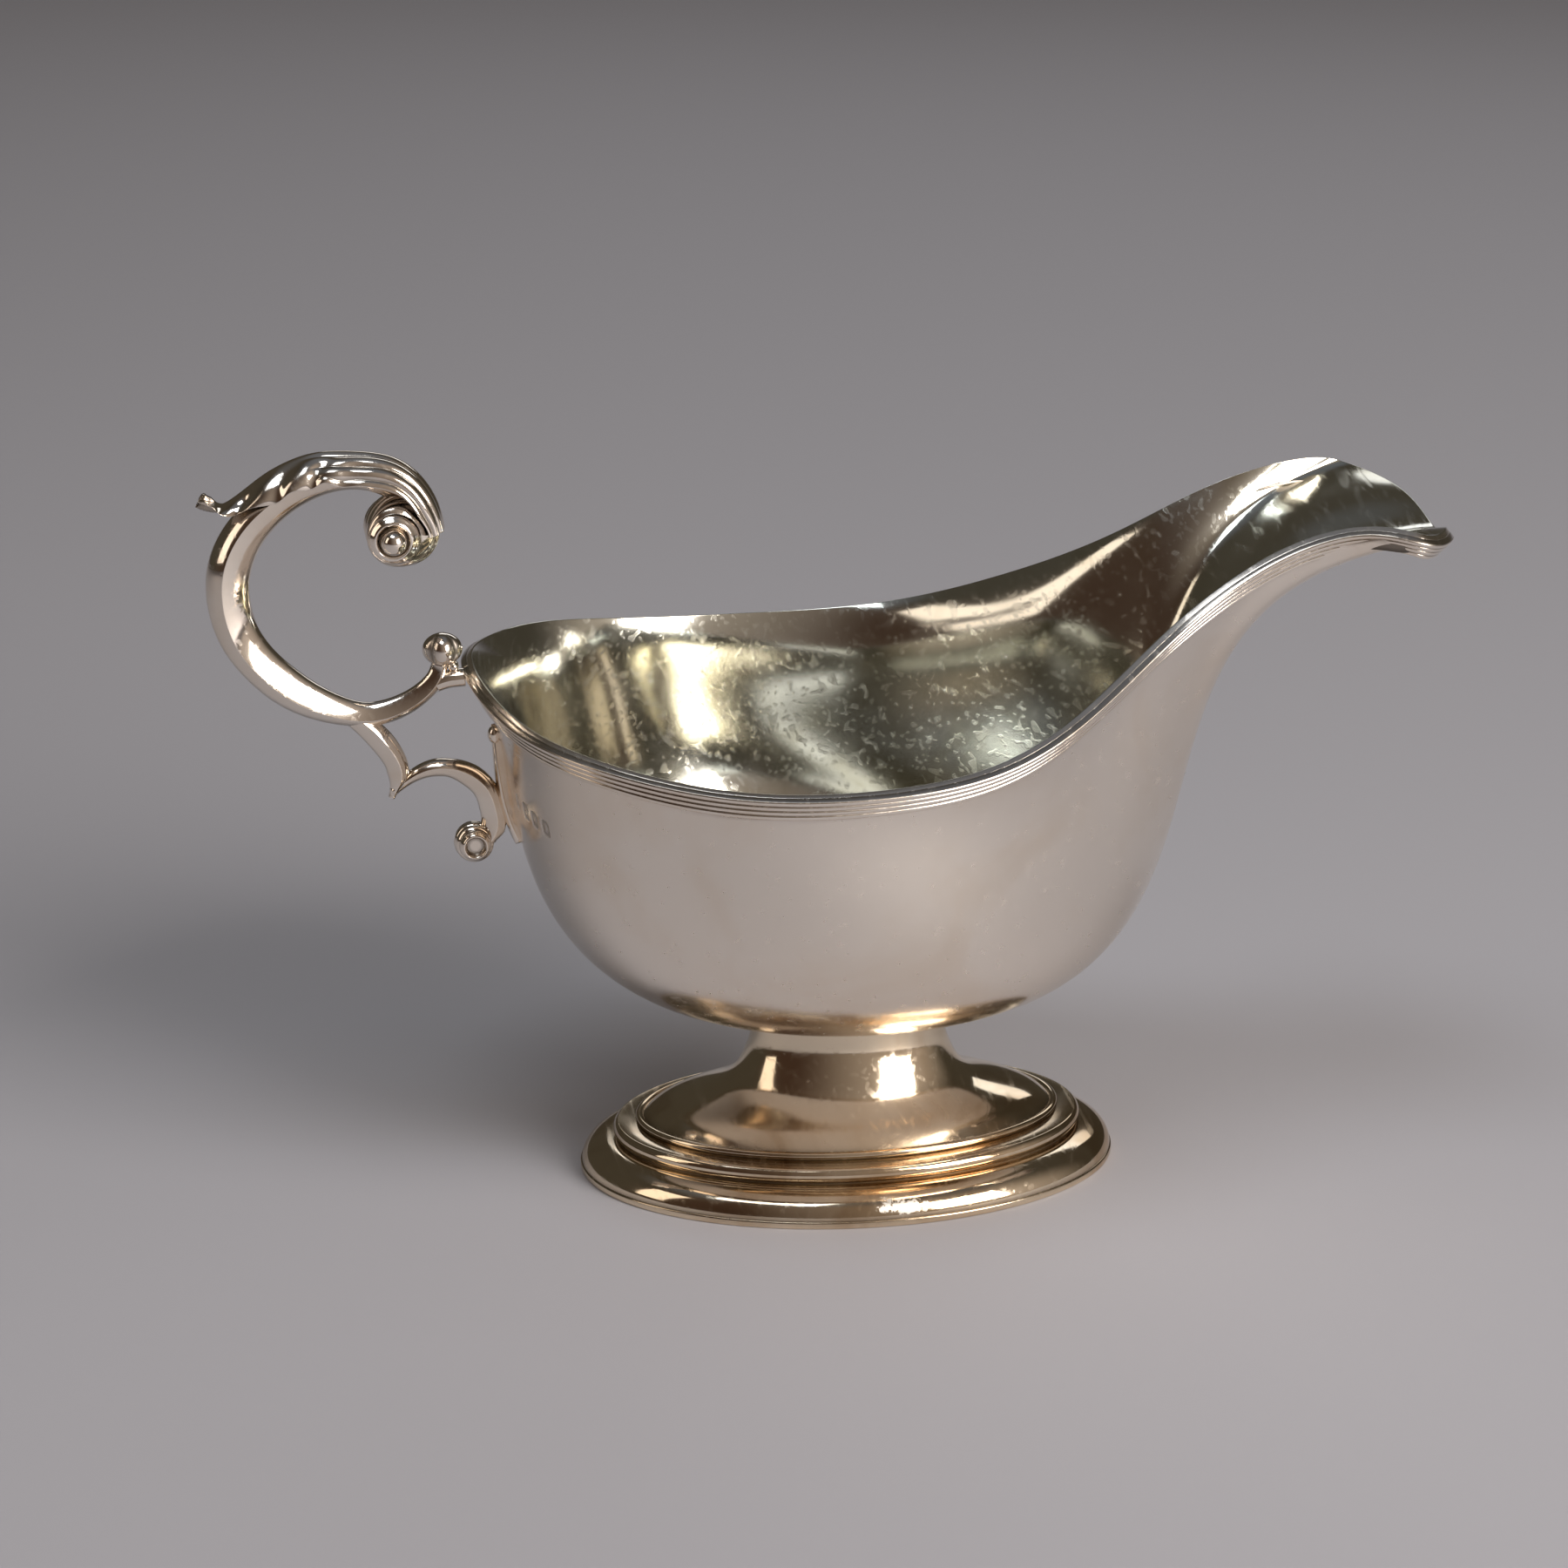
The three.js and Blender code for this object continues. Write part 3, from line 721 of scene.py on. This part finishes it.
def bar(name, node, curve, depth, width, steps=200, ridge=1.5, lean=0.22, outward=-1):
    """A scroll bar with a crisp ridge down each side, which leans to the curve's outside.

    depth and width are half sizes along it, and outward is the sign of its turn.
    """
    sides = 48
    t = np.linspace(0, 1, steps + 1)
    centre = curve(t)[:, None, :]
    along = tangents(curve, t)
    across = outward * np.stack([-along[:, 2], 0 * t, along[:, 0]], 1)[:, None, :]
    angle = np.linspace(0, 2 * np.pi, sides, endpoint=False)[None, :]
    c, s = np.cos(angle), np.sin(angle)
    half = depth(t)[:, None]
    spread = np.where(c > 0, half * (1 - lean), half * (1 + lean))
    out = lean * half + spread * np.sign(c) * np.abs(c) ** ridge
    side = width(t)[:, None] * s
    points = centre + out[..., None] * across + side[..., None] * np.array([0, 1, 0])
    solid(name, points, bright_silver, node=node)


MAIN_CURVE = plane_curve([
    (-60.6, 99.0),
    (-61.6, 102.2),
    (-66.0, 104.6),
    (-71.5, 104.8),
    (-77.5, 102.6),
    (-82.6, 98.6),
    (-85.6, 93.6),
    (-86.3, 88.4),
    (-85.0, 82.8),
    (-81.6, 77.8),
    (-76.8, 73.8),
    (-71.6, 71.4),
    (-66.8, 70.7),
    (-62.0, 72.2),
    (-58.6, 75.0),
    (-57.6, 77.6),
])


def main_scroll():
    depth = profile((0, 2.2), (0.2, 2.2), (0.42, 3.0), (0.62, 2.8), (0.8, 1.7), (1, 1.2))
    width = profile((0, 2.4), (0.2, 2.4), (0.42, 2.9), (0.62, 2.7), (0.8, 1.8), (1, 1.2))
    bar("handle_scroll_skin", "handle_scroll", MAIN_CURVE, depth, width, ridge=1.9, lean=0.3)


def fluted_roll(name, node, centre, radius, half_width, end_share, flutes, groove, eye):
    """A roll with its axis along Y: waisted ends, flutes round it, and an eye sunk in each end.

    end_share is how wide its ends are beside its middle, groove is how deep its flutes
    are, and eye is the middle of each end, which can be off the roll's own middle.
    """
    rows = 25 * flutes
    across = np.linspace(-1, 1, rows)[:, None]
    angle = np.linspace(0, 2 * np.pi, 128, endpoint=False)[None, :]
    barrel = np.sqrt(1 - (1 - end_share**2) * across**2)
    rib = np.abs(np.cos(np.pi * across * flutes / 2)) ** 0.6
    size = radius * barrel - groove * (1 - rib)
    shift = smooth(0.35, 1.0, np.abs(across))
    points = np.stack([
        centre[0] + shift * (eye[0] - centre[0]) + size * np.cos(angle),
        centre[1] + across * half_width + 0 * angle,
        centre[2] + shift * (eye[2] - centre[2]) + size * np.sin(angle),
    ], -1)
    grime = 0.75 * (1 - rib) ** 3 + 0 * angle
    hollow_rows = 14
    lip_lift = 0.45
    eye_depth = 0.4
    caps = []
    dirt = []
    for end, row in ((-1, points[0]), (1, points[-1])):
        middle = np.array([eye[0], end * half_width + centre[1], eye[2]])
        share = np.linspace(1, 0.0, hollow_rows + 1)[1:-1][:, None, None]
        # the rim rolls over, then drops into the eye
        lift = lip_lift * np.sin(np.pi * np.clip((1 - share) / 0.4, 0, 1))
        lift = lift - eye_depth * smooth(0.78, 0.6, share)
        caps.append(middle + (row - middle)[None] * share + lift * np.array([0, end, 0]))
        ring = smooth(0.78, 0.62, share[..., 0]) * smooth(0.3, 0.5, share[..., 0])
        dirt.append(0.5 * ring + 0 * angle)
    points = np.concatenate([caps[0][::-1], points, caps[1]])
    grime = np.concatenate([dirt[0][::-1], grime, dirt[1]])
    solid(name, points, bright_silver, grime=grime, node=node)


def ball(name, node, centre, half, lobes=0, lobe_depth=0.0, axis=1):
    """A ball, stretched to its half sizes, with optional lobes round its axis, Y (1) or Z (2)."""
    latitude = np.linspace(-0.495, 0.495, 33)[:, None] * np.pi
    longitude = np.linspace(0, 2 * np.pi, 64, endpoint=False)[None, :]
    pinch = 1 - lobe_depth * (1 - np.abs(np.cos(lobes * longitude / 2))) * np.cos(latitude)
    ring = np.cos(latitude) * pinch
    parts = [ring * np.cos(longitude), ring * np.sin(longitude), np.sin(latitude) + 0 * longitude]
    order = {1: (1, 2, 0), 2: (0, 1, 2)}[axis]
    points = np.stack([parts[i] for i in order], -1) * np.array(half) + np.array(centre)
    grime = 0.8 * (1 - pinch) / lobe_depth if lobes else 0 * pinch
    solid(name, points, bright_silver, grime=grime, node=node)


LEAF_CURVE = plane_curve([
    (-90.0, 101.6),
    (-87.6, 100.9),
    (-84.4, 102.0),
    (-80.2, 105.0),
    (-75.2, 107.2),
    (-70.5, 107.7),
    (-64.5, 107.2),
    (-60.0, 104.4),
    (-57.6, 100.4),
    (-56.8, 97.0),
])
LEAF_WIDTH = profile((0, 2.2), (0.08, 2.4), (0.16, 2.6), (0.36, 3.7), (0.6, 4.0), (0.85, 4.5), (1, 4.2))
LEAF_HANG = profile((0, -1.6), (0.08, -1.0), (0.18, 1.0), (0.36, 3.4), (0.6, 3.8), (0.85, 3.0), (1, 2.2))
LEAF_LOBES = 4


def leaf():
    """The acanthus leaf: a scooped tip, oblique lobes, then long flutes down to the volute."""
    steps, sides = 260, 97
    above, below = 0.4, 0.45
    s = np.linspace(0, 1, steps)[:, None]
    v = np.linspace(-1, 1, sides)[None, :]
    centre = LEAF_CURVE(s[:, 0])[:, None, :]
    along = tangents(LEAF_CURVE, s[:, 0])
    up = np.stack([-along[:, 2], 0 * s[:, 0], along[:, 0]], 1)[:, None, :]
    tip = np.sin(np.pi / 2 * np.sqrt(np.clip(s / 0.05, 0, 1)))
    width = LEAF_WIDTH(s) * tip
    hang = LEAF_HANG(s) * tip
    leafy = smooth(0.12, 0.24, s) * smooth(0.66, 0.5, s)
    phase = (s - 0.12) / 0.5 * LEAF_LOBES
    edge = np.sin(np.pi * phase) ** 2
    reach = 1 - 0.12 * leafy * (1 - edge)
    swing = v * reach * np.pi / 2 * 0.96
    y = width * np.sin(swing)
    drop = hang * (1 - np.cos(swing))
    # veins run from the middle rib out and back towards the tip
    oblique = np.sin(np.pi * (phase + 0.8 * np.abs(v) ** 1.2 - 0.8)) ** 2
    scoop = -0.5 * leafy * oblique * smooth(0.1, 0.5, np.abs(v))
    middle_rib = 0.28 * leafy * np.exp(-((v / 0.12) ** 2))
    fluted = smooth(0.42, 0.62, s)
    crest = np.abs(np.cos(np.pi * 3.0 * v)) ** 0.7
    flute = 0.42 * fluted * (crest - 1)
    relief = scoop + middle_rib + flute - 0.15 * (1 - tip)
    out = np.sin(swing)[..., None] * np.array([0, 1, 0]) + np.cos(swing)[..., None] * up
    skin = centre + y[..., None] * np.array([0, 1, 0]) - drop[..., None] * up
    top = skin + (above + relief)[..., None] * out
    bottom = skin - below * out
    ring = np.concatenate([top, bottom[:, ::-1]], 1)
    dark = 0.35 * leafy * (1 - oblique) ** 3 * smooth(0.15, 0.4, np.abs(v))
    dark = dark + 0.6 * fluted * (1 - crest) ** 2
    grime = np.clip(np.concatenate([dark, 0.5 + 0 * dark], 1), 0, 1)
    solid("handle_leaf_skin", ring, bright_silver, grime=grime, node="handle_leaf")


def handle():
    main_scroll()
    leaf()
    roll = node_centre("handle_volute")
    eye = node_centre("volute_boss_right")
    fluted_roll("handle_volute_skin", "handle_volute", roll, 5.2, 4.5, 0.58, 6, 0.35, eye)
    for side in ("right", "left"):
        node = f"volute_boss_{side}"
        ball(f"{node}_skin", node, node_centre(node), (1.75, 1.7, 1.75))
    rim_end()


def rim_end():
    """The bud, its small bead and the lug that is soldered to the rim wire."""
    bud = node_centre("rim_bud")
    ball("rim_bud_skin", "rim_bud", bud, (2.8, 2.6, 2.3), lobes=4, lobe_depth=0.2, axis=2)
    ball("rim_collar_bead_skin", "rim_collar_bead", node_centre("rim_collar_bead"), (0.8, 1.2, 0.8))
    lug = plane_curve([(-58.2, 74.6), (-56.4, 75.2), (-54.2, 75.4)])
    bar("rim_lug_skin", "rim_lug", lug, profile((0, 1.2), (1, 1.3)), profile((0, 1.3), (1, 1.5)), steps=24,
        ridge=1.1, lean=0)


# ---------------------------------------------------------------- bracket


def bracket():
    """The spur under the handle, the scroll that stands on the bowl, and where they meet it."""
    spur = plane_curve([
        (-73.4, 71.8),
        (-69.8, 70.2),
        (-66.6, 67.4),
        (-64.5, 64.4),
        (-63.8, 61.6),
        (-64.8, 58.3),
    ])
    bar("bracket_spur_skin", "bracket_spur", spur, profile((0, 1.0), (0.45, 1.75), (0.75, 1.6), (1, 0.5)),
        profile((0, 1.2), (0.5, 1.9), (0.8, 1.7), (1, 0.6)), steps=80, outward=1)
    lower = plane_curve([
        (-64.6, 59.2),
        (-61.2, 61.6),
        (-57.8, 62.4),
        (-54.6, 61.5),
        (-52.0, 59.3),
        (-50.9, 56.5),
        (-50.6, 53.9),
        (-51.4, 51.6),
    ])
    depth = profile((0, 0.7), (0.3, 1.3), (0.5, 1.7), (0.9, 1.8), (1, 1.2))
    width = profile((0, 0.9), (0.3, 1.6), (0.7, 1.8), (1, 1.7))
    bar("bracket_scroll_skin", "bracket_scroll", lower, depth, width, steps=120, outward=1)
    roll = node_centre("bracket_volute")
    fluted_roll("bracket_volute_skin", "bracket_volute", roll, 2.85, 2.4, 0.7, 4, 0.3, roll)
    plate()


def plate():
    """The plate soldered to the back of the bowl, a spear head with a raised rim and a knob."""
    foot_t, top_t = 0.655, 0.895
    rows, sides = 96, 48
    share = np.linspace(0.004, 0.996, rows)[:, None]
    t = foot_t + (top_t - foot_t) * share
    angle = np.linspace(0, 2 * np.pi, sides, endpoint=False)[None, :]
    half_width = 1.9 * np.sin(np.pi * share) ** 0.7 * (1.25 - 0.75 * share)
    y = half_width * np.cos(angle)
    short_way = 0.01
    u = y / (wall(short_way, t)[..., 1] / short_way)
    # the front swells and stands off the wall, and the back is buried in it
    front_swell = 0.7 - 0.3 * share
    lift = np.where(np.sin(angle) > 0, front_swell, 0.4) * np.sin(angle)
    stand = 1.15 * np.sin(np.pi * share) ** 0.8
    points = wall(u, t) + (0.1 + lift + stand * (np.sin(angle) > -0.5))[..., None] * wall_out(u, t)
    solid("bracket_plate_skin", points, bright_silver, node="bracket_plate")
    knob = wall(0.0, 0.875) + 0.5 * wall_out(0.0, 0.875)
    ball("bracket_plate_knob", None, knob, (0.95, 1.1, 1.3))


# ---------------------------------------------------------------- studio


def area_light(name, place, aim, size, power, colour):
    light = bpy.data.lights.new(name, "AREA")
    light.shape = "RECTANGLE"
    light.size, light.size_y = size
    light.energy = power
    light.color = colour
    lamp = bpy.data.objects.new(name, light)
    lamp.location = place
    lamp.rotation_euler = (Vector(aim) - Vector(place)).to_track_quat("-Z", "Y").to_euler()
    bpy.context.scene.collection.objects.link(lamp)


def pale_floor():
    half = 3.0
    corners = [(-half, -half, 0), (half, -half, 0), (half, half, 0), (-half, half, 0)]
    mesh = bpy.data.meshes.new("floor")
    mesh.from_pydata(corners, [], [(0, 1, 2, 3)])
    material = bpy.data.materials.new("pale_floor")
    material.use_nodes = True
    surface = material.node_tree.nodes["Principled BSDF"]
    surface.inputs["Base Color"].default_value = (0.46, 0.45, 0.48, 1)
    surface.inputs["Roughness"].default_value = 0.7
    mesh.materials.append(material)
    floor = bpy.data.objects.new("floor", mesh)
    bpy.context.scene.collection.objects.link(floor)


def surroundings():
    """A soft room: light towards the near right, warm and dark on the left and behind, cool above."""
    world = bpy.data.worlds.new("studio")
    world.use_nodes = True
    tree = world.node_tree
    direction = tree.nodes.new("ShaderNodeTexCoord").outputs["Generated"]
    parts = tree.nodes.new("ShaderNodeSeparateXYZ")
    tree.links.new(direction, parts.inputs[0])

    def rise(axis, low, high):
        made = tree.nodes.new("ShaderNodeMapRange")
        made.interpolation_type = "SMOOTHSTEP"
        made.inputs["From Min"].default_value = low
        made.inputs["From Max"].default_value = high
        tree.links.new(parts.outputs[axis], made.inputs["Value"])
        return made.outputs["Result"]

    def mix(share, first, second):
        made = tree.nodes.new("ShaderNodeMix")
        made.data_type = "RGBA"
        tree.links.new(share, made.inputs[0])
        for socket, value in zip((made.inputs[6], made.inputs[7]), (first, second)):
            if isinstance(value, tuple):
                socket.default_value = (*value, 1)
            else:
                tree.links.new(value, socket)
        return made.outputs[2]

    near_side = mix(rise("X", -0.7, 0.8), (0.05, 0.030, 0.020), (0.42, 0.36, 0.31))
    all_round = mix(rise("Y", -0.6, 0.25), near_side, (0.055, 0.048, 0.036))
    shade = mix(rise("Z", 0.75, 1.0), all_round, (0.13, 0.14, 0.16))
    background = tree.nodes["Background"]
    tree.links.new(shade, background.inputs["Color"])
    background.inputs["Strength"].default_value = 1.0
    bpy.context.scene.world = world


def studio():
    """Four soft lamps, a pale floor and the room's own light."""
    surroundings()
    aim = (0, 0, 0.05)
    area_light("key", (0.70, -0.85, 0.55), aim, (0.55, 0.75), 15, (1.0, 0.95, 0.90))
    area_light("fill", (-1.0, -0.25, 0.55), aim, (0.35, 0.8), 1.2, (1.0, 0.86, 0.72))
    area_light("window", (-0.25, -0.35, 1.25), aim, (0.6, 0.4), 3.5, (0.86, 0.93, 1.0))
    area_light("back", (0.35, 0.95, 0.65), aim, (0.9, 0.25), 1.0, (0.95, 0.97, 1.0))
    pale_floor()


AZIMUTH = math.radians(-9.0)
PITCH = math.radians(18.5)
DISTANCE = 0.6365
LOOK_AT = Vector((-0.0038, 0.01835, 0.05116))


def camera():
    """The photo's viewpoint."""
    data = bpy.data.cameras.new("camera")
    data.lens = 100
    data.sensor_width = 36
    made = bpy.data.objects.new("camera", data)
    back = Vector((
        math.sin(AZIMUTH) * math.cos(PITCH),
        -math.cos(AZIMUTH) * math.cos(PITCH),
        math.sin(PITCH),
    ))
    made.location = LOOK_AT + back * DISTANCE
    made.rotation_euler = (-back).to_track_quat("-Z", "Y").to_euler()
    bpy.context.scene.collection.objects.link(made)
    bpy.context.scene.camera = made


bowl()
rim_wire("rim_wire_right_skin", "rim_wire_right", 0.0, -1)
rim_wire("rim_wire_left_skin", "rim_wire_left", 0.5, 1)
foot()
handle()
bracket()
studio()
camera()
bpy.context.scene.view_settings.view_transform = "Standard"
